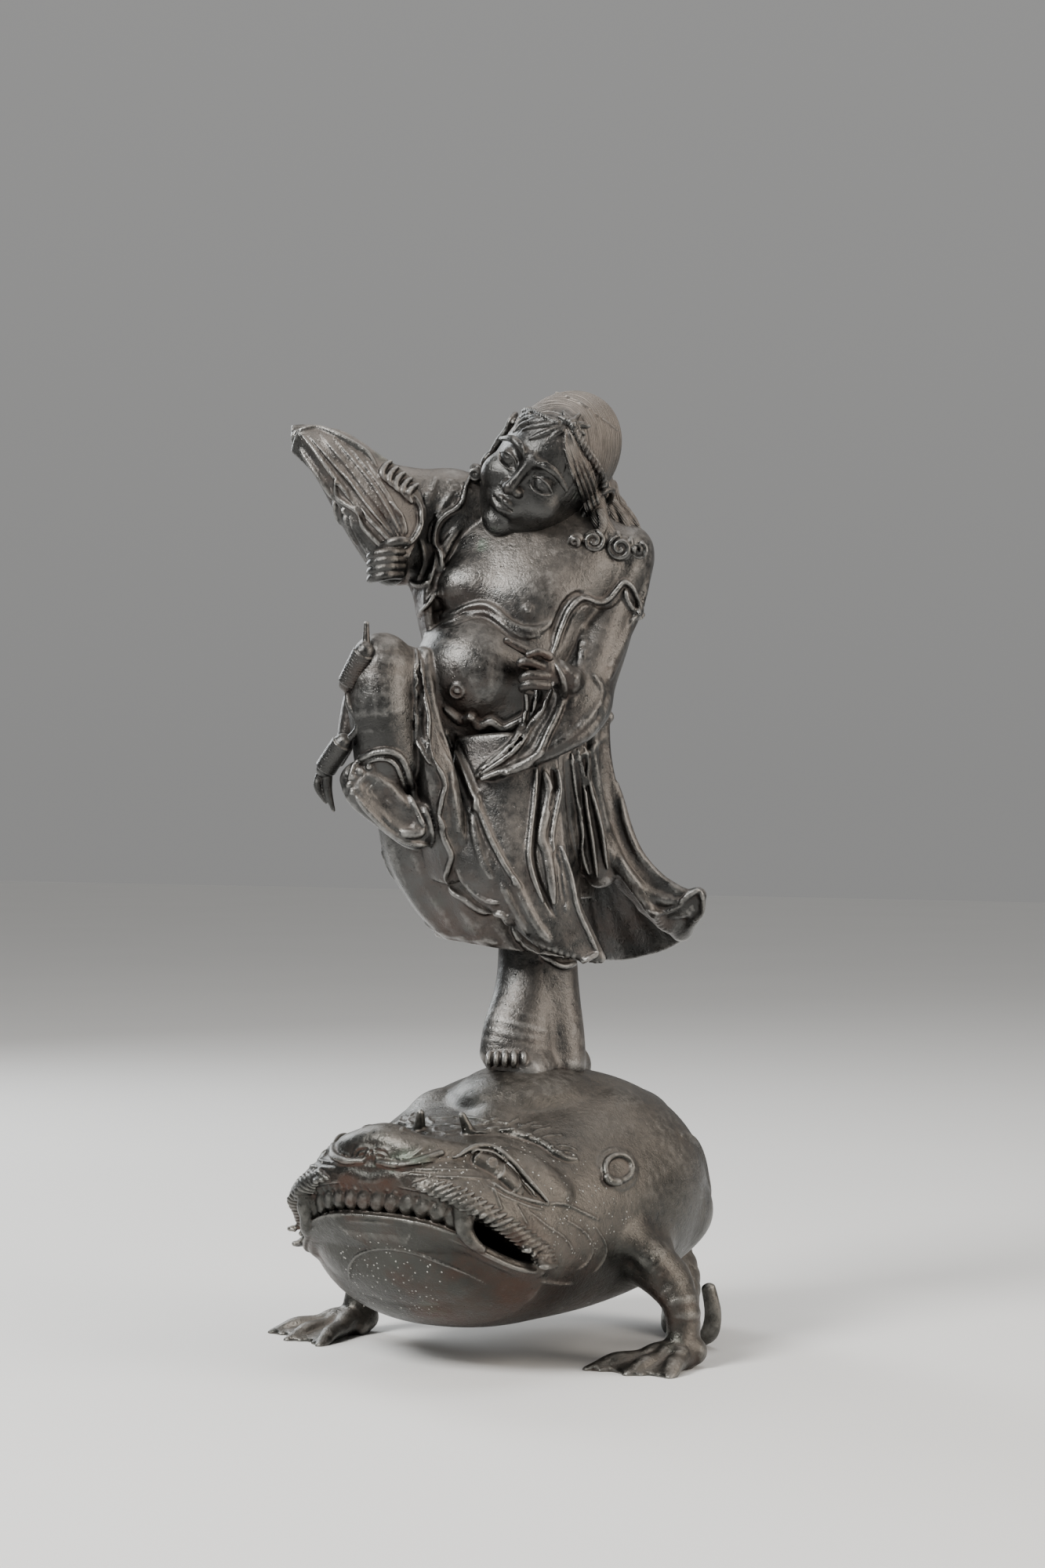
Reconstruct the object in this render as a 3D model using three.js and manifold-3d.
// A bronze immortal dancing on one leg on the back of a three-legged toad, about 49 cm high.
// Millimetres, +Z up, the toad faces -Y. The toad is laid out in that frame. The immortal is
// laid out square to the side from which the pose reads, X to the right and Y away, and is
// then turned by VIEW_TURN onto the toad's back.
import * as THREE from "three";
import Module from "manifold-3d";

const wasm = await Module();
wasm.setup();

// Driving dimensions
const BACK_HEIGHT = 140;
const TOE_HEIGHT = 144;
const TOAD_HALF_WIDTH = 85;
const VIEW_TURN = 33;
const SOLE_GAP = 0.3;
const TOLERANCE = 1.4;
const FINE_TOLERANCE = 0.12;
const SLIVER = 1;
const PARTING = 0.02;
const POLE = 0.16;
const FLOOR_REACH = 300;
const TEETH = 13;
const TOES = 5;
const CENTRE_SHIFT = [7.4, 16.8];
const BRONZE = { color: 0x3a3835, roughness: 0.42, metalness: 0.85 };

const RAD = Math.PI / 180;
const TURN = 2 * Math.PI;

// Smooth reading of evenly spaced values, which are numbers or lists of numbers
function along(values, share) {
  const at = Math.min(Math.max(share, 0), 1) * (values.length - 1);
  const start = Math.min(Math.floor(at), values.length - 2);
  const f = at - start;
  const last = values.length - 1;
  const pick = (k) => values[Math.min(Math.max(start + k, 0), last)];
  const [a, b, c, d] = [-1, 0, 1, 2].map(pick);
  const blend = (p, q, r, s) =>
    q + 0.5 * f * (r - p + f * (2 * p - 5 * q + 4 * r - s + f * (3 * (q - r) + s - p)));
  return Array.isArray(b) ? b.map((_, k) => blend(a[k], b[k], c[k], d[k])) : blend(a, b, c, d);
}

// Even shares from 0 to 1
const shares = (count) => Array.from({ length: count }, (_, i) => i / (count - 1));
const angles = (count) => Array.from({ length: count }, (_, i) => (i * TURN) / count);
const bulge = (value, power) => Math.sign(value) * Math.abs(value) ** (2 / power);

// Closed skin over rings of equal, even length, its ends closed by ladders of faces
function skin(rings) {
  const n = rings[0].length;
  const faces = [];
  for (let i = 0; i + 1 < rings.length; i++)
    for (let j = 0; j < n; j++) {
      const k = (j + 1) % n;
      const [a, b, c, d] = [i * n + j, i * n + k, i * n + n + j, i * n + n + k];
      faces.push([a, b, d], [a, d, c]);
    }
  const end = (rings.length - 1) * n;
  for (let j = 0; j < n / 2 - 1; j++) {
    const [a, b, c, d] = [j, j + 1, n - 1 - j, n - 2 - j];
    faces.push([b, a, c], [b, c, d]);
    faces.push([end + a, end + b, end + c], [end + b, end + d, end + c]);
  }
  const made = new THREE.BufferGeometry().setFromPoints(rings.flat().map((p) => new THREE.Vector3(...p)));
  made.setIndex(faces.flat());
  return solid(made);
}

// A closed indexed geometry as a solid with its faces pointing out
function solid(geometry) {
  const build = (triVerts) =>
    new wasm.Manifold(
      new wasm.Mesh({ numProp: 3, vertProperties: geometry.attributes.position.array, triVerts }),
    );
  const triVerts = new Uint32Array(geometry.index.array);
  const made = build(triVerts);
  return made.volume() > 0 ? made : build(triVerts.slice().reverse());
}

const join = (solids) => solids.reduce((whole, one) => whole.add(one));

// The solid without slivers and without hollows that are closed on every side
const filled = (whole) => join(whole.decompose().filter((shell) => shell.volume() > SLIVER));
const finished = (whole, tolerance) => filled(filled(whole).asOriginal().simplify(tolerance));

// Rings stacked level: each station is [z, x, y, half-width, half-depth, turn in degrees]
function stack(stations, { rings = 12, sides = 20, power = 2, shape = () => 1 } = {}) {
  return skin(
    shares(rings).map((t) => {
      const [z, x, y, a, b, turn = 0] = along(stations, t);
      return angles(sides).map((angle) => {
        const [c, s] = [bulge(Math.cos(angle), power), bulge(Math.sin(angle), power)];
        const r = shape(angle, t);
        const [u, v] = [a * c * r, b * s * r];
        const [ct, st] = [Math.cos(turn * RAD), Math.sin(turn * RAD)];
        return [x + u * ct - v * st, y + u * st + v * ct, z];
      });
    }),
  );
}

// A limb along points: each station is [x, y, z, half-width, half-thickness], the thickness
// measured along the direction `thick` as far as the limb's own direction lets it
function limb(stations, { rings = 8, sides = 10, thick = [0, 1, 0], power = 2, shape = () => 1 } = {}) {
  return skin(
    shares(rings).map((t) => {
      const [x, y, z, a, b] = along(stations, t);
      const ahead = along(stations, Math.min(t + 0.01, 1));
      const behind = along(stations, Math.max(t - 0.01, 0));
      const forward = new THREE.Vector3(...[0, 1, 2].map((k) => ahead[k] - behind[k])).normalize();
      const side = new THREE.Vector3().crossVectors(forward, new THREE.Vector3(...thick)).normalize();
      const up = new THREE.Vector3().crossVectors(side, forward);
      return angles(sides).map((angle) => {
        const r = shape(angle, t);
        const [c, s] = [bulge(Math.cos(angle), power) * a * r, bulge(Math.sin(angle), power) * b * r];
        return [x + side.x * c + up.x * s, y + side.y * c + up.y * s, z + side.z * c + up.z * s];
      });
    }),
  );
}

const cord = (points, radius, rings = 10, sides = 6) =>
  limb(points.map((p) => [...p, radius, radius]), { rings, sides, thick: [0.3, 0.8, 0.5] });

// A sheet of even thickness over a grid of points, row by row, moved out by `lift`
function sheet(grid, thickness, { rows = 10, columns = 12, lift = () => 0 } = {}) {
  const at = (u, v) => along(grid.map((row) => along(row, v)), u);
  const normal = (u, v) => {
    const step = 0.02;
    const span = (p, q) => new THREE.Vector3(...p.map((value, k) => q[k] - value));
    const down = span(at(u - step, v), at(u + step, v));
    const across = span(at(u, v - step), at(u, v + step));
    return down.cross(across).normalize().toArray();
  };
  return skin(
    shares(rows).map((u) => {
      const face = (v, half) => {
        const [p, n] = [at(u, v), normal(u, v)];
        return p.map((value, k) => value + n[k] * (half + lift(u, v)));
      };
      const front = shares(columns).map((v) => face(v, thickness / 2));
      const back = shares(columns).map((v) => face(v, -thickness / 2));
      return [...front, ...back.reverse()];
    }),
  );
}

// Radius and height, as shares, of a ball's ring: the poles are cut off flat at the angle POLE
const ballRing = (t) => {
  const angle = POLE + t * (Math.PI - 2 * POLE);
  return [Math.sin(angle), Math.cos(angle)];
};

// An ellipsoid by centre, radii and turns about X, Y and Z in degrees
function ball(centre, radii, turns = [0, 0, 0], detail = [10, 7]) {
  const [across, down] = detail;
  const rings = shares(down).map((t) => {
    const [r, h] = ballRing(t);
    return angles(across).map((angle) => {
      const p = new THREE.Vector3(
        radii[0] * r * Math.cos(angle),
        radii[1] * r * Math.sin(angle),
        radii[2] * h,
      );
      p.applyEuler(new THREE.Euler(...turns.map((value) => value * RAD)));
      return [p.x + centre[0], p.y + centre[1], p.z + centre[2]];
    });
  });
  return skin(rings);
}

// The toad. Stations from snout to rump are [y, half-width, top, bottom].
const TOAD_STATIONS = [
  [-139, 24, 103, 62],
  [-131, 50, 110, 46],
  [-116, 63, 112, 32],
  [-96, 69, 111, 23],
  [-70, 74, 117, 18],
  [-42, 79, 127, 17],
  [-12, 84, 136, 17],
  [18, TOAD_HALF_WIDTH, BACK_HEIGHT, 19],
  [46, 78, 134, 22],
  [72, 61, 116, 28],
  [92, 38, 92, 38],
  [103, 16, 72, 50],
];
const MOUTH = { halfWidth: 68, cornerY: -90, reach: 49, middleZ: 88, fall: 29, depth: 34 };

// How far the lower jaw stands back behind the snout at a point of the body
const JAW = { setback: 11, top: 80, fade: 18, cheekY: -88, run: 30, narrowing: 0.3 };

function jawSetback(y, z) {
  const low = THREE.MathUtils.clamp((JAW.top - z) / JAW.fade, 0, 1);
  return JAW.setback * low * THREE.MathUtils.clamp((JAW.cheekY - y) / JAW.run, 0, 1);
}

// A point of the mouth's arc, by angle from the snout's tip, moved out and up
function onMouth(angle, out = 0, up = 0) {
  const [s, c] = [Math.sin(angle * RAD), Math.cos(angle * RAD)];
  const z = MOUTH.middleZ - MOUTH.fall * Math.abs(s) ** 3;
  return [(MOUTH.halfWidth + out) * s, MOUTH.cornerY - (MOUTH.reach + out) * c, z + up];
}

function toadBody() {
  const rings = shares(22).map((t) => {
    const [y, a, top, bottom] = along(TOAD_STATIONS, t);
    return angles(26).map((angle) => {
      const [c, s] = [bulge(Math.cos(angle), 2.2), bulge(Math.sin(angle), 2.2)];
      const z = (top + bottom) / 2 + ((top - bottom) / 2) * s;
      const back = jawSetback(y, z);
      return [(a - JAW.narrowing * back) * c, y + back, z];
    });
  });
  return skin(rings);
}

// The open mouth, a slot behind the lips that closes at the corners
function mouthSlot() {
  const rings = shares(13).map((t) => {
    const angle = -86 + 172 * t;
    const half = 1.2 + 4.3 * (1 - Math.sin(angle * RAD) ** 8);
    const outer = onMouth(angle, 22);
    const inner = onMouth(angle, -MOUTH.depth);
    return [
      [outer[0], outer[1], outer[2] - half],
      [inner[0], inner[1], inner[2] - half],
      [inner[0], inner[1], inner[2] + half],
      [outer[0], outer[1], outer[2] + half],
    ];
  });
  return skin(rings);
}

const mouthArc = (from, to, count, out, up) =>
  shares(count).map((t) => {
    const angle = from + (to - from) * t;
    return onMouth(angle, out, up * (1 - 0.45 * Math.sin(angle * RAD) ** 8));
  });

function lips() {
  const upper = cord(mouthArc(-88, 88, 13, -1.5, 9.5), 4.2, 20, 6);
  const lower = cord(mouthArc(-86, 86, 13, -7, -8.5), 4.2, 18, 6);
  const corners = [-1, 1].map((side) => ball(onMouth(side * 88, -1, 1), [5, 5, 8], [0, 0, 0], [6, 5]));
  return [upper, lower, ...corners];
}

function teeth() {
  return shares(TEETH).map((t) => {
    const angle = -48 + 96 * t;
    const [x, y, z] = onMouth(angle, -4.5, 2);
    return ball([x, y, z], [4.3, 3, 5.6], [0, 0, angle], [6, 4]);
  });
}

function fangs() {
  return [-54, 54].map((angle) => {
    const [x, y, z] = onMouth(angle, -4);
    return limb([[x, y, z + 8, 5, 5], [x, y, z, 4, 4], [x, y - 1, z - 6, 2, 2]], { rings: 4, sides: 6 });
  });
}

function toadFace() {
  const nose = ball([0, -121, 108], [28, 15, 11], [-12, 0, 0], [12, 7]);
  const ridge = ball([0, -110, 112], [13, 15, 11], [0, 0, 0], [10, 7]);
  const pair = [-1, 1].flatMap((side) => [
    limb(
      [
        [side * 7, -135, 106, 5, 5],
        [side * 17, -133, 111, 7, 6],
        [side * 27, -121, 112, 6, 6],
        [side * 34, -108, 111, 5, 5],
        [side * 44, -96, 108, 4, 4],
      ],
      { rings: 9, sides: 8, thick: [0, 0, 1] },
    ),
    limb([
      [side * 32, -109, 107, 2, 4],
      [side * 41, -101, 102, 6, 8],
      [side * 52, -93, 95, 6, 8],
      [side * 66, -84, 86, 2, 3],
    ], {
      rings: 8,
      sides: 8,
      thick: [side * 0.5, -0.5, 0.7],
    }),
    cord(
      [[side * 33, -111, 108], [side * 44, -97, 108], [side * 56, -88, 100], [side * 68, -82, 88]],
      2.6,
      9,
      6,
    ),
    limb(
      [
        [side * 22, -87, 110, 4, 4],
        [side * 40, -78, 113, 4, 4],
        [side * 54, -66, 107, 4, 4],
        [side * 64, -54, 101, 2, 2],
      ],
      { rings: 7, sides: 6, thick: [0, 0, 1] },
    ),
    limb(
      [[side * 20, -84, 108, 6, 6], [side * 21, -86, 115, 4, 4], [side * 21, -87, 119, 2, 2]],
      { rings: 4, sides: 6 },
    ),
    ball([side * 77, -36, 98], [4, 7.5, 7.5], [0, side * 24, side * 10], [10, 6]),
    limb([[side * 82, -26, 60, 9, 6], [side * 92, -22, 52, 10, 6], [side * 95, -14, 44, 5, 4]], {
      rings: 6,
      sides: 8,
      thick: [side, -0.4, 0.5],
    }),
  ]);
  return [nose, ridge, ...pair];
}

// A webbed foot: a toe from the ankle to each tip on the floor, and the web between them
function foot([x, y], tips, height = 8) {
  const toes = tips.map(([tx, ty]) => {
    const at = (share, z) => [x + (tx - x) * share, y + (ty - y) * share, z];
    return limb([
      [...at(-0.1, height), 7, 8],
      [...at(0.4, height - 2), 7, 6],
      [...at(0.8, 2), 4.5, 4.5],
      [...at(1, -1), 2, 2.5],
    ], {
      rings: 6,
      sides: 8,
      thick: [0, 0, 1],
    });
  });
  const web = tips.slice(1).map(([tx, ty], i) => {
    const [px, py] = tips[i];
    const middle = [x + ((px + tx) / 2 - x) * 0.66, y + ((py + ty) / 2 - y) * 0.66];
    return limb([[x, y, height - 2, 8, 5], [...middle, 1, 5, 3]], { rings: 3, sides: 6, thick: [0, 0, 1] });
  });
  return [...toes, ...web];
}

function frontLeg(side, ankle, tips) {
  const leg = limb(
    [
      [side * 58, -8, 56, 22, 22],
      [side * 78, -12, 49, 13, 17],
      [ankle[0] - side * 5, ankle[1] + 3, 34, 9, 11],
      [ankle[0] - side, ankle[1] + 2, 18, 8, 9],
      [ankle[0] - side, ankle[1] - 3, 4, 9, 9],
    ],
    { rings: 9, sides: 10 },
  );
  return [leg, ...foot(ankle, tips)];
}

// The single hind leg, which swings to the toad's left under the rump and ends in a raised toe
function hindLeg() {
  const leg = limb(
    [
      [0, 66, 50, 26, 22],
      [14, 92, 42, 16, 18],
      [32, 92, 26, 12, 14],
      [44, 78, 13, 10, 10],
      [50, 66, 5, 9, 8],
    ],
    { rings: 9, sides: 10, thick: [0, 0.3, 1] },
  );
  const toe = limb([
    [52, 62, 5, 6, 6],
    [72, 44, 2.5, 4, 5],
    [86, 34, 7, 3, 5],
    [90, 32, 18, 2.5, 4.5],
    [88, 31, 33, 3, 4],
  ], {
    rings: 9,
    sides: 8,
    thick: [-0.8, -0.9, 0.2],
  });
  return [leg, toe, ...foot([48, 68], [[66, 54], [38, 96]], 7)];
}

function warts() {
  const spots = [
    [-34, -30, 120, 13],
    [14, -50, 119, 11],
    [48, 6, 121, 12],
    [-54, 30, 112, 13],
    [36, 52, 116, 12],
    [-22, 60, 118, 14],
    [58, 46, 68, 20],
    [-58, 46, 68, 20],
  ];
  return spots.map(([x, y, z, r]) => ball([x, y, z], [r, r, r * 0.85], [0, 0, 0], [10, 7]));
}

function toad() {
  const reach = FLOOR_REACH;
  const floor = skin(
    [-reach, reach].map((x) => [
      [-reach, x, -reach],
      [reach, x, -reach],
      [reach, x, 0],
      [-reach, x, 0],
    ]),
  );
  const pad = ball([6, -8, 124], [38, 46, TOE_HEIGHT - 123.5], [0, 0, 0], [18, 10]);
  const head = join([toadBody(), pad, ...toadFace(), ...warts()]).subtract(mouthSlot());
  const legs = [
    ...frontLeg(1, [103, -20], [[67, -52], [91, -54], [112, -49]]),
    ...frontLeg(-1, [-92, -22], [[-128, -48], [-107, -62], [-83, -67]]),
    ...hindLeg(),
  ];
  return finished(join([head, ...lips(), ...teeth(), ...fangs(), ...legs]).subtract(floor), TOLERANCE);
}

// The immortal, laid out square to the view: landmarks of the pose
const POSE = {
  head: [10.5, -9, 445],
  raisedKnee: [-73, -44, 340],
  raisedAnkle: [-70, -42, 302],
  standingHeel: [20, 14, BACK_HEIGHT],
  standingToes: [-8, -28, TOE_HEIGHT],
  fanHand: [-70, -27, 395],
  pointingHand: [8, -52, 341],
};

function torso() {
  const trunk = stack(
    [
      [262, -6, 2, 30, 28],
      [300, -8, 2, 38, 34],
      [322, -12, -4, 39, 38],
      [345, -12, -6, 40, 40],
      [365, -4, -2, 42, 37],
      [382, 2, 0, 47, 37],
      [398, 6, 2, 51, 34],
      [412, 9, 4, 49, 28],
      [424, 10, 5, 37, 22],
      [436, 11, 2, 20, 17],
      [448, 12, -2, 15, 14],
    ],
    { rings: 16, sides: 20 },
  );
  const belly = ball([-26, -17, 342], [32, 37, 30], [0, 0, 0], [18, 11]);
  const breasts = [
    ball([-29, -20, 384], [17, 15, 14], [0, 0, 0], [12, 7]),
    ball([2, -24, 380], [21, 15, 16], [0, 0, 0], [12, 7]),
  ];
  const nipples = [ball([-43, -30, 381], [3, 3, 3]), ball([-1, -38, 374], [3, 3, 3])];
  const navel = ball([-35, -49, 331], [5, 4, 5]);
  const fold = cord(
    [[-47, -28, 369], [-33, -42, 374], [-14, -43, 371], [2, -41, 363], [14, -38, 368]],
    2.4,
    12,
    6,
  );
  return [trunk, belly, ...breasts, ...nipples, navel, fold];
}

// The head leans to the right at the crown and looks down to the left: pitch, lean and turn,
// and how much narrower and longer it is than its shapes are laid out
const HEAD_TURNS = new THREE.Euler(22 * RAD, 34 * RAD, -14 * RAD, "YXZ");
const HEAD_SIZE = new THREE.Vector3(0.94, 1, 1.11);

// A place in the head's own frame, X to its left, -Y out of the face, Z up
function onHead(x, y, z) {
  const p = new THREE.Vector3(x, y, z).multiply(HEAD_SIZE).applyEuler(HEAD_TURNS);
  return [p.x + POSE.head[0], p.y + POSE.head[1], p.z + POSE.head[2]];
}

// An ellipsoid set in the head's own frame
function headBall(x, y, z, radii, detail = [8, 6]) {
  const [across, down] = detail;
  return skin(
    shares(down).map((t) => {
      const [r, h] = ballRing(t);
      const at = (angle) => [
        x + radii[0] * r * Math.cos(angle),
        y + radii[1] * r * Math.sin(angle),
        z + radii[2] * h,
      ];
      return angles(across).map((angle) => onHead(...at(angle)));
    }),
  );
}

function head() {
  const skull = headBall(0, 0, 2, [30, 35, 36], [18, 12]);
  const jaw = headBall(0, -5, -14, [26, 27, 24], [14, 9]);
  const nose = limb([
    [...onHead(0, -34, 6), 3, 4],
    [...onHead(0, -38, -3), 4, 5],
    [...onHead(0, -38, -9), 6, 4],
  ], {
    rings: 4,
    sides: 6,
  });
  const pairs = [-1, 1].flatMap((side) => [
    headBall(side * 14, -25, -10, [10, 8, 9]),
    cord([onHead(side * 4, -35, 10), onHead(side * 13, -33, 13), onHead(side * 22, -27, 8)], 2, 5, 6),
    headBall(side * 29, 2, -5, [5, 7, 12]),
  ]);
  const lip = cord([onHead(-8, -30, -19), onHead(0, -33, -20), onHead(8, -30, -19)], 2.2, 5, 6);
  const chin = headBall(0, -25, -29, [9, 7, 6]);
  const cap = headBall(0, 5, 6, [33, 36, 32], [16, 10]);
  const band = shares(15).map((t) => {
    const angle = (-100 + 200 * t) * RAD;
    return onHead(33 * Math.sin(angle), 5 - 37 * Math.cos(angle), 24 - 20 * Math.sin(angle) ** 2);
  });
  const farEar = ball([-25, -6, 444], [5, 5, 6], [0, 0, 0], [6, 5]);
  return [skull, jaw, nose, ...pairs, farEar, lip, chin, cap, cord(band, 2, 18, 6)];
}

// Hair that falls behind the ear to the shoulder, ending in curls
function hair() {
  const falls = [
    [
      [35, 4, 458, 8, 12],
      [35, 6, 442, 8, 14],
      [39, 6, 428, 8, 14],
      [47, 4, 416, 8, 13],
      [53, 2, 406, 7, 9],
    ],
    [[-10, 14, 446, 9, 12], [-14, 18, 430, 9, 12], [-14, 18, 416, 7, 9]],
    [[14, 20, 456, 24, 10], [16, 26, 434, 28, 10], [18, 29, 408, 24, 8], [18, 31, 394, 12, 5]],
  ].map((stations) => limb(stations, { rings: 6, sides: 8 }));
  const curls = [[32, -22, 410], [44, -18, 404], [55, -10, 408]].map((at) => ball(at, [7, 5, 7]));
  return [...falls, ...curls];
}

// The coat, open in front, from the shoulders round the back to the swept tails
const COAT = [
  [
    [-26, -6, 430],
    [-40, 6, 424],
    [-30, 24, 428],
    [6, 30, 430],
    [34, 26, 424],
    [54, 12, 412],
    [58, -4, 402],
  ],
  [
    [-50, -18, 388],
    [-55, 6, 387],
    [-38, 30, 384],
    [4, 38, 382],
    [40, 32, 382],
    [57, 12, 382],
    [57, -8, 380],
  ],
  [
    [-49, -18, 348],
    [-49, 6, 345],
    [-36, 34, 340],
    [2, 42, 338],
    [31, 34, 338],
    [40, 12, 340],
    [37, -12, 340],
  ],
  [
    [-53, -14, 305],
    [-56, 12, 300],
    [-40, 42, 296],
    [0, 50, 294],
    [30, 42, 294],
    [37, 22, 296],
    [32, -4, 300],
  ],
  [
    [-60, -10, 262],
    [-66, 16, 258],
    [-46, 50, 250],
    [0, 60, 246],
    [34, 52, 246],
    [44, 30, 250],
    [36, 2, 258],
  ],
  [
    [-38, -12, 213],
    [-44, 16, 207],
    [-40, 50, 196],
    [4, 68, 188],
    [46, 62, 190],
    [80, 36, 206],
    [62, 8, 218],
  ],
];

function coat() {
  const pleats = (u, v) => 1.4 * u * Math.cos(v * 11 * Math.PI);
  const back = sheet(COAT, 5, { rows: 12, columns: 20, lift: pleats });
  const tail = limb(
    [
      [34, 12, 322, 8, 7],
      [34, 13, 300, 9, 7],
      [37, 14, 280, 10, 7],
      [42, 14, 260, 11, 7],
      [50, 14, 243, 11, 7],
      [64, 13, 229, 10, 6],
      [79, 11, 224, 8, 6],
      [88, 9, 228, 4, 6],
    ],
    { rings: 12, sides: 8, thick: [0.5, 1, 0] },
  );
  const lining = stack(
    [
      [424, 4, 14, 32, 15],
      [385, 3, 18, 42, 19],
      [340, -2, 20, 38, 20],
      [295, -6, 24, 42, 24],
      [250, -8, 28, 44, 28],
      [226, -6, 30, 40, 30],
    ],
    { rings: 8, sides: 16 },
  );
  const rims = [
    cord(
      [
        [-19, -12, 438],
        [-30, -18, 424],
        [-38, -24, 412],
        [-44, -27, 396],
        [-48, -27, 378],
        [-51, -26, 362],
        [-53, -28, 345],
      ],
      2.4,
      14,
    ),
    cord(
      [[56, -10, 402], [50, -20, 388], [40, -26, 380], [24, -32, 376], [15, -39, 358], [10, -43, 346]],
      2.6,
      12,
    ),
  ];
  return [back, tail, lining, ...rims];
}

// The skirt, a bell with a slanting hem, hollow below, and its front folds
function skirt() {
  const outside = [
    [322, -9, -2, 36, 32],
    [298, -15, 2, 45, 37],
    [272, -25, 4, 51, 41],
    [250, -25, 6, 50, 43],
    [230, -21, 7, 46, 43],
    [213, -15, 6, 41, 41],
    [202, -8, 4, 36, 37],
  ];
  const inside = [
    [202, -8, 4, 32, 33],
    [214, -6, 5, 30, 31],
    [228, -2, 5, 25, 26],
  ];
  const rim = outside.length;
  const stations = [...outside, ...inside];
  const slant = (p) => [p[0], p[1], p[2] - Math.max(250 - p[2], 0) * 0.003 * (p[0] + 10)];
  const level = (t, from) => {
    const [z, x, y, a, b] = from;
    return angles(20).map((angle) => {
      const fold = 1 + 0.03 * Math.cos(7 * angle) * Math.min(t * 2, 1);
      return slant([x + a * fold * Math.cos(angle), y + b * fold * Math.sin(angle), z]);
    });
  };
  const down = shares(10).map((t) => level(t, along(outside, t)));
  const up = stations.slice(rim).map((from) => level(1, from));
  const bell = skin([...down, ...up]);
  const apron = sheet(
    [
      [[-34, -33, 306], [-12, -43, 308], [12, -38, 306]],
      [[-37, -39, 276], [-12, -46, 272], [14, -40, 275]],
      [[-36, -43, 248], [-10, -49, 242], [17, -43, 246]],
      [[-27, -43, 232], [-3, -48, 222], [23, -43, 226]],
      [[-10, -42, 219], [9, -46, 206], [36, -38, 198]],
    ],
    5,
    { rows: 8, columns: 7 },
  );
  const folds = [
    cord([[-40, -36, 314], [-28, -46, 286], [-14, -50, 258], [0, -51, 236]], 2.2, 8),
    cord([[4, -46, 296], [0, -50, 262], [5, -51, 236], [13, -48, 212]], 2.4, 8),
    cord([[12, -42, 294], [14, -46, 262], [19, -46, 236], [34, -40, 202]], 2.4, 8),
  ];
  return [bell, apron, ...folds];
}

// Folds that hang between the front of the skirt and the swept tail
const innerFolds = () =>
  [0, 1, 2].map((i) =>
    limb([
      [24 + 4 * i, -6 + 4 * i, 306, 4, 7],
      [27 + 4 * i, -6 + 4 * i, 272, 4, 7],
      [32 + 4 * i, -4 + 4 * i, 244 - 4 * i, 2.5, 4],
    ], {
      rings: 5,
      sides: 6,
    }),
  );

const standingLeg = () =>
  limb(
    [
      [6, 6, 262, 22, 22],
      [4, 5, 225, 20, 21],
      [5, 5, 195, 20, 20],
      [5, 5, 172, 21, 20],
      [5, 4, 154, 23, 22],
      [4, 3, 133, 26, 24],
    ],
    { rings: 9, sides: 14 },
  );

function standingFoot() {
  const [heel, toes] = [POSE.standingHeel, POSE.standingToes];
  const at = (share, z) => heel.map((value, k) => value + (toes[k] - value) * share + (k === 2 ? z : 0));
  const sole = limb([
    [...at(-0.05, 0), 11, 12],
    [...at(0.3, 1), 14, 15],
    [...at(0.75, -1), 16, 12],
    [...at(0.98, -2), 16, 9],
  ], {
    rings: 6,
    sides: 10,
    thick: [0, 0, 1],
  });
  const row = shares(TOES).map((t) => {
    const [x, y, z] = at(1.02 - 0.08 * Math.abs(t - 0.6), 2);
    return ball([x + 26 * (t - 0.5), y - 16 * (t - 0.5), z], [4, 5, 5.5], [0, 0, -33], [6, 5]);
  });
  return [sole, ...row];
}

function raisedLeg() {
  const thigh = limb([
    [-16, 4, 300, 24, 24],
    [-38, -14, 320, 20, 20],
    [-62, -34, 336, 18, 18],
    [-74, -44, 340, 16, 15],
  ], {
    rings: 6,
    sides: 12,
    thick: [0, 0, 1],
  });
  const [knee, ankle] = [POSE.raisedKnee, POSE.raisedAnkle];
  const shin = limb(
    [
      [knee[0], knee[1], knee[2] + 13, 10, 10],
      [knee[0], knee[1], knee[2] + 4, 17, 17],
      [-73, -45, 326, 17, 18],
      [ankle[0] - 1, ankle[1], ankle[2] + 6, 17, 18],
      [ankle[0] + 1, ankle[1] + 2, ankle[2] - 6, 19, 18],
    ],
    { rings: 9, sides: 14 },
  );
  const cuff = limb([
    [-88, -44, 297, 3, 6],
    [-72, -58, 302, 3, 6],
    [-54, -56, 296, 3, 6],
    [-44, -40, 284, 3, 6],
    [-42, -32, 262, 2, 4],
  ], {
    rings: 8,
    sides: 6,
    thick: [0, 0, 1],
  });
  const side = limb([
    [-82, -34, 348, 4, 6],
    [-88, -32, 326, 5, 7],
    [-91, -33, 308, 5, 6],
    [-95, -34, 296, 3, 4],
  ], {
    rings: 6,
    sides: 8,
  });
  return [thigh, shin, cuff, side];
}

// The raised foot, its sole turned to the front, toes up and to the left
function raisedFoot() {
  const sole = limb([
    [-88, -48, 290, 10, 6],
    [-80, -50, 283, 12, 9],
    [-68, -48, 272, 11, 10],
    [-58, -46, 263, 10, 9],
    [-53, -44, 259, 8, 6],
  ], {
    rings: 7,
    sides: 10,
  });
  const toes = shares(TOES).map((t) => ball(
    [-83 - 9 * t, -53, 296 - 15 * t],
    [3.8, 5, 3.8],
    [0, 0, 0],
    [6, 5],
  ));
  const calf = limb(
    [[-68, -34, 300, 16, 12], [-60, -30, 276, 14, 12], [-54, -34, 262, 9, 9]],
    { rings: 4, sides: 8 },
  );
  return [sole, calf, ...toes];
}

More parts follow.
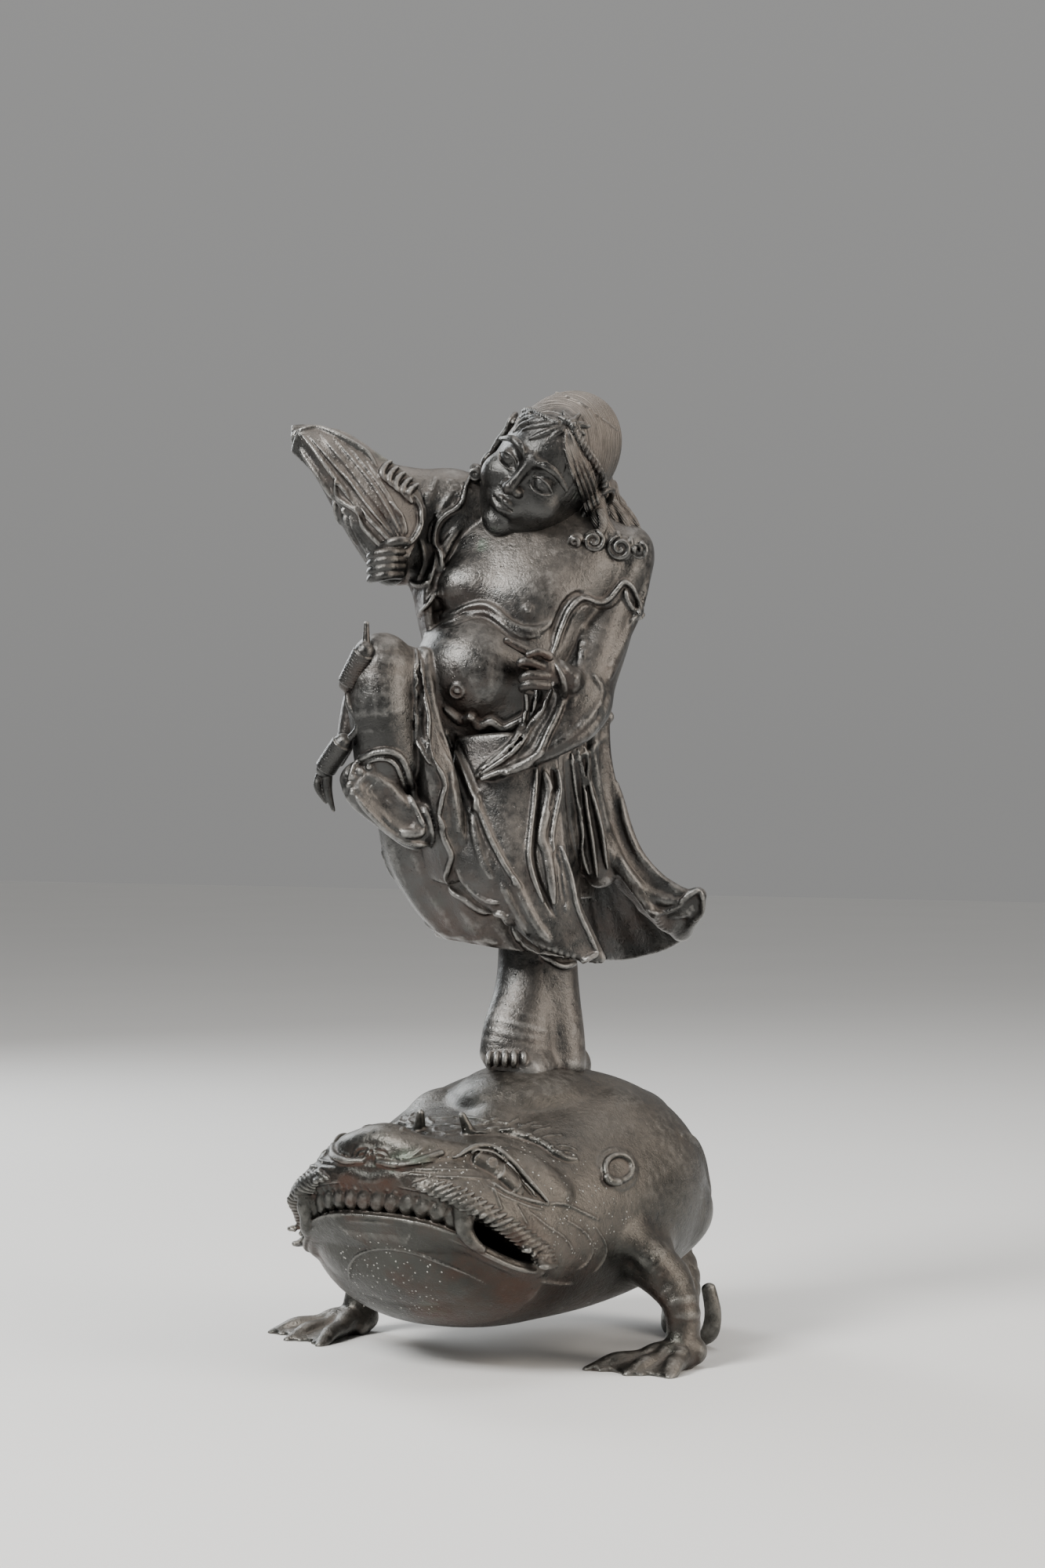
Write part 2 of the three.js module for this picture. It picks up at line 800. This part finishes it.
// Drapery that falls from the waist between the raised leg and the skirt
const sideDrape = () => [
  sheet(
    [
      [[-53, -20, 370], [-51, -34, 370], [-47, -40, 366]],
      [[-56, -32, 342], [-52, -48, 342], [-46, -51, 340]],
      [[-57, -40, 314], [-50, -54, 314], [-42, -52, 312]],
      [[-55, -42, 288], [-46, -52, 286], [-37, -49, 286]],
      [[-52, -34, 262], [-43, -46, 260], [-34, -44, 262]],
      [[-48, -26, 240], [-39, -38, 238], [-32, -40, 242]],
    ],
    6,
    { rows: 11, columns: 5 },
  ),
];

// The turned edge of the coat's skirt below the belly
const waistband = () => cord(
  [[-48, -38, 326], [-38, -46, 315], [-22, -49, 311], [-6, -47, 316], [6, -42, 324]],
  2.8,
  10,
);

// The sleeve of the raised arm: level slices across X, each [x, y, z, half-depth, half-height]
function fanSleeve() {
  const slices = [
    [-14, 6, 420, 15, 18],
    [-36, 3, 422, 16, 24],
    [-55, 0, 417, 15, 29],
    [-74, -4, 419, 13, 31],
    [-91, -8, 436, 10, 26],
    [-107, -10, 453, 7, 14],
    [-119, -12, 462, 4, 5],
  ];
  const rings = shares(13).map((t) => {
    const [x, y, z, a, b] = along(slices, t);
    return angles(14).map((angle) => [x, y + a * Math.cos(angle), z + b * Math.sin(angle)]);
  });
  const edge = cord(
    [[-118, -18, 460], [-104, -22, 438], [-97, -25, 424], [-89, -27, 406], [-78, -28, 392]],
    3,
    10,
  );
  return [skin(rings), edge];
}

// The ribbed leaf fan in the raised hand, from tip to handle
function fan() {
  const leaf = sheet(
    [
      [[-118, -14, 454], [-115, -20, 461], [-110, -16, 464]],
      [[-107, -22, 443], [-102, -26, 453], [-94, -20, 461]],
      [[-97, -24, 430], [-88, -29, 440], [-77, -22, 450]],
      [[-87, -26, 417], [-75, -31, 427], [-60, -22, 437]],
      [[-78, -28, 404], [-67, -31, 412], [-54, -24, 420]],
      [[-70, -28, 397], [-66, -30, 399], [-61, -28, 400]],
    ],
    4,
    { rows: 10, columns: 13, lift: (u, v) => 0.9 * Math.cos(v * 12 * Math.PI) * Math.sin(u * Math.PI) },
  );
  const curl = shares(4).map((t) => {
    const [x, z] = [-75 + 16 * t, 441 - 8 * t];
    return cord([[x - 1, -22, z + 4], [x + 3, -29, z + 1], [x + 1, -31, z - 6]], 2.6, 4, 6);
  });
  return [leaf, ...curl];
}

function fanHand() {
  const [x, y, z] = POSE.fanHand;
  const palm = ball([x, y + 4, z], [10, 10, 11]);
  const forearm = limb(
    [[-86, -16, 420, 8, 8], [-78, -20, 406, 8, 8], [x, y + 4, z, 8, 8]],
    { rings: 4, sides: 8 },
  );
  const fingers = shares(4).map((t) => {
    const [drop, in_] = [-11 * t, 3 * t];
    return cord(
      [[x + 8 - in_, y, z + 6 + drop], [x + 2 - in_, y - 7, z + 5 + drop], [x - 8, y - 3, z + 4 + drop]],
      3.2,
      5,
      6,
    );
  });
  const thumb = cord([[x - 4, y - 2, z + 6], [x + 4, y - 7, z + 9], [x + 8, y - 4, z + 10]], 3, 4, 6);
  return [palm, forearm, ...fingers, thumb];
}

// The lowered arm in its wide sleeve, which ends in a long hanging point
function pointingArm() {
  const sleeve = stack(
    [
      [412, 46, 4, 12, 14],
      [398, 50, 2, 14, 19],
      [376, 40, 0, 17, 22],
      [352, 32, -8, 18, 25],
      [334, 25, -18, 19, 23],
      [318, 18, -28, 22, 18],
      [304, 6, -38, 20, 12],
      [292, -14, -45, 11, 6],
      [288, -22, -47, 5, 3],
    ],
    { rings: 14, sides: 14 },
  );
  const edges = [
    cord(
      [[18, -46, 352], [24, -46, 338], [18, -49, 318], [4, -52, 304], [-8, -52, 294], [-23, -48, 289]],
      2.4,
      10,
    ),
    cord([[12, -50, 350], [20, -52, 336], [12, -54, 318], [0, -56, 306], [-10, -54, 296]], 2.2, 9),
    cord([[0, -56, 332], [-2, -56, 318], [-8, -55, 306], [-22, -50, 291]], 2.2, 8),
  ];
  const shoulder = ball([48, 0, 404], [16, 18, 14], [0, 0, 0], [12, 7]);
  return [sleeve, ...edges, shoulder];
}

function pointingHand() {
  const [x, y, z] = POSE.pointingHand;
  const palm = ball([x, y, z], [9, 7, 10]);
  const wrist = limb([[24, -34, 334, 8, 8], [x + 6, y + 3, z - 1, 8, 8]], { rings: 3, sides: 8 });
  const pointing = [
    0,
    1,
  ].map((i) => cord([[x - 2, y - 2, z + 5 - 3 * i], [x - 19, y - 6 - i, z + 15 - 4 * i]], 2.8, 4, 6));
  const curled = [0, 1].map((i) => cord(
    [[x, y - 4, z - 1 - 5 * i], [x - 8, y - 6, z - 2 - 5 * i], [x - 5, y - 1, z - 5 - 5 * i]],
    3,
    5,
    6,
  ));
  return [palm, wrist, ...pointing, ...curled];
}

// The cord with two bound rolls that hangs over the raised knee
function rolls() {
  const spike = limb([[-80, -58, 352, 2.2, 2.2], [-80, -58, 364, 1.4, 1.4]], { rings: 3, sides: 6 });
  const roll = (from, to, radius) => {
    const at = (share) => from.map((value, k) => value + (to[k] - value) * share);
    const stations = [0, 0.12, 0.5, 0.88, 1].map((
      share,
      i,
    ) => [...at(share), radius * [0.5, 0.95, 1, 0.95, 0.5][i], radius * [0.5, 0.95, 1, 0.95, 0.5][i]]);
    return limb(stations, { rings: 7, sides: 8 });
  };
  return [
    spike,
    roll([-79, -59, 352], [-91, -50, 333], 6.5),
    cord([[-89, -50, 334], [-89, -52, 325], [-84, -54, 314], [-90, -50, 306]], 1.9, 8),
    roll([-91, -50, 308], [-104, -42, 290], 6),
    limb([[-103, -42, 292, 2, 2], [-105, -42, 284, 2, 2], [-101, -43, 276, 1, 1]], { rings: 4, sides: 6 }),
    limb(
      [[-100, -43, 292, 3, 3], [-100, -43, 282, 2.5, 2.5], [-97, -44, 272, 1, 1]],
      { rings: 4, sides: 6 },
    ),
  ];
}

function immortal(base) {
  const whole = join([
    ...torso(),
    ...head(),
    ...hair(),
    ...coat(),
    ...skirt(),
    ...innerFolds(),
    standingLeg(),
    ...standingFoot(),
    ...raisedLeg(),
    ...raisedFoot(),
    ...sideDrape(),
    waistband(),
    ...fanSleeve(),
    ...fan(),
    ...fanHand(),
    ...pointingArm(),
    ...pointingHand(),
    ...rolls(),
  ]);
  const turned = finished(whole.rotate([0, 0, VIEW_TURN]), TOLERANCE);
  return finished(turned.subtract(base.translate([0, 0, SOLE_GAP])), FINE_TOLERANCE);
}

// Points that touch without being joined are drawn a hair's breadth into their own side
function parted(points, faces) {
  const at = (i) => new THREE.Vector3(...points.subarray(3 * i, 3 * i + 3));
  const normals = Array.from({ length: points.length / 3 }, () => new THREE.Vector3());
  for (let f = 0; f < faces.length; f += 3) {
    const [a, b, c] = [0, 1, 2].map((k) => at(faces[f + k]));
    const normal = b.sub(a).cross(c.sub(a));
    for (let k = 0; k < 3; k++) normals[faces[f + k]].add(normal);
  }
  const seen = new Map();
  normals.forEach((_, i) => {
    const key = at(i).toArray().join();
    seen.set(key, [...(seen.get(key) ?? []), i]);
  });
  for (const same of seen.values())
    if (same.length > 1)
      for (const i of same) {
        const inward = normals[i].normalize().multiplyScalar(-PARTING);
        at(i).add(inward).toArray(points, 3 * i);
      }
  return points;
}

// A solid as a named mesh in the bronze's colour
function meshOf(name, from) {
  const { vertProperties, triVerts } = from.getMesh();
  const geometry = new THREE.BufferGeometry();
  geometry.setAttribute("position", new THREE.BufferAttribute(parted(vertProperties, triVerts), 3));
  geometry.setIndex(new THREE.BufferAttribute(triVerts, 1));
  geometry.computeVertexNormals();
  const mesh = new THREE.Mesh(geometry, new THREE.MeshStandardMaterial(BRONZE));
  mesh.name = name;
  return mesh;
}

const base = toad();
const statue = new THREE.Group();
statue.add(meshOf("toad", base), meshOf("immortal", immortal(base)));
statue.position.set(...CENTRE_SHIFT, 0);

export default statue;
